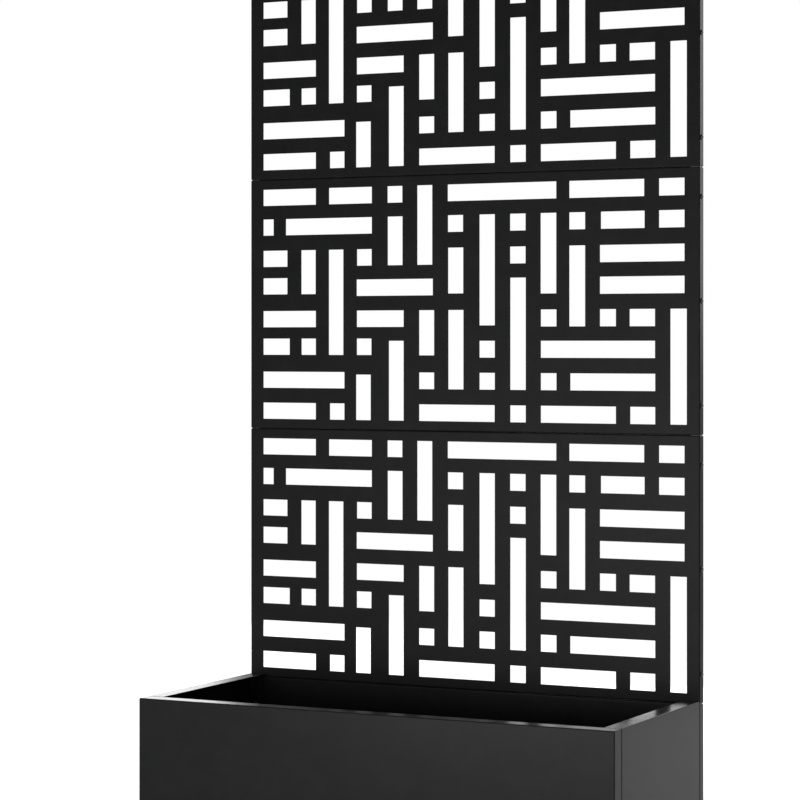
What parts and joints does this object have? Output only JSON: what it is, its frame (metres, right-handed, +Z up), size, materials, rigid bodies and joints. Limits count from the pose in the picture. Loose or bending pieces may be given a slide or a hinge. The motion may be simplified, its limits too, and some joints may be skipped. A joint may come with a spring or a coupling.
{
  "type": "floor planter with privacy trellis",
  "caption": "Free-standing rectangular planter folded from black sheet steel, with a tall privacy trellis of stacked lattice panels rising from its back edge.",
  "frame": {"origin": "on the floor, under the middle of the object's box", "axes": "+Z up, +X to the right when facing the planter's front, +Y to the back, where the trellis stands"},
  "size_m": [1.1772, 0.541, 2.243],
  "materials": {
    "planter_coat": "satin black powder coat on folded sheet steel",
    "lattice_coat": "matt black powder coat on laser-cut folded sheet steel",
    "upright_coat": "black powder coat on steel tube and angle",
    "tray_coat": "thin matt black coat on the parts under the soil",
    "black_bolt": "black-finished steel bolts",
    "zinc_nut": "zinc-plated steel nuts",
    "black_plastic": "moulded black plastic"
  },
  "bodies": {
    "root": {"back_bolt_left_lower": "black_bolt", "back_bolt_left_upper": "black_bolt", "back_bolt_right_lower": "black_bolt", "back_bolt_right_upper": "black_bolt", "back_panel": "planter_coat", "corner_bolt_left_lower": "black_bolt", "corner_bolt_left_upper": "black_bolt", "corner_bolt_right_lower": "black_bolt", "corner_bolt_right_upper": "black_bolt", "corner_bracket_left": "upright_coat", "corner_bracket_right": "upright_coat", "corner_nut_left_lower": "zinc_nut", "corner_nut_left_upper": "zinc_nut", "corner_nut_right_lower": "zinc_nut", "corner_nut_right_upper": "zinc_nut", "cross_member_left": "tray_coat", "cross_member_middle": "tray_coat", "cross_member_right": "tray_coat", "floor_tray": "tray_coat", "foot_back_left": "black_plastic", "foot_back_right": "black_plastic", "foot_front_left": "black_plastic", "foot_front_right": "black_plastic", "front_panel": "planter_coat", "lattice_bolt_bottom_left_high": "black_bolt", "lattice_bolt_bottom_left_low": "black_bolt", "lattice_bolt_bottom_left_mid": "black_bolt", "lattice_bolt_bottom_right_high": "black_bolt", "lattice_bolt_bottom_right_low": "black_bolt", "lattice_bolt_bottom_right_mid": "black_bolt", "lattice_bolt_middle_left_high": "black_bolt", "lattice_bolt_middle_left_low": "black_bolt", "lattice_bolt_middle_left_mid": "black_bolt", "lattice_bolt_middle_right_high": "black_bolt", "lattice_bolt_middle_right_low": "black_bolt", "lattice_bolt_middle_right_mid": "black_bolt", "lattice_bolt_top_left_high": "black_bolt", "lattice_bolt_top_left_low": "black_bolt", "lattice_bolt_top_left_mid": "black_bolt", "lattice_bolt_top_right_high": "black_bolt", "lattice_bolt_top_right_low": "black_bolt", "lattice_bolt_top_right_mid": "black_bolt", "lattice_panel_bottom": "lattice_coat", "lattice_panel_middle": "lattice_coat", "lattice_panel_top": "lattice_coat", "left_panel": "planter_coat", "right_panel": "planter_coat", "upright_cap_left": "black_plastic", "upright_cap_right": "black_plastic", "upright_lower_left": "upright_coat", "upright_lower_right": "upright_coat", "upright_sleeve_left": "upright_coat", "upright_sleeve_right": "upright_coat", "upright_upper_left": "upright_coat", "upright_upper_right": "upright_coat"}
  },
  "joints": []
}
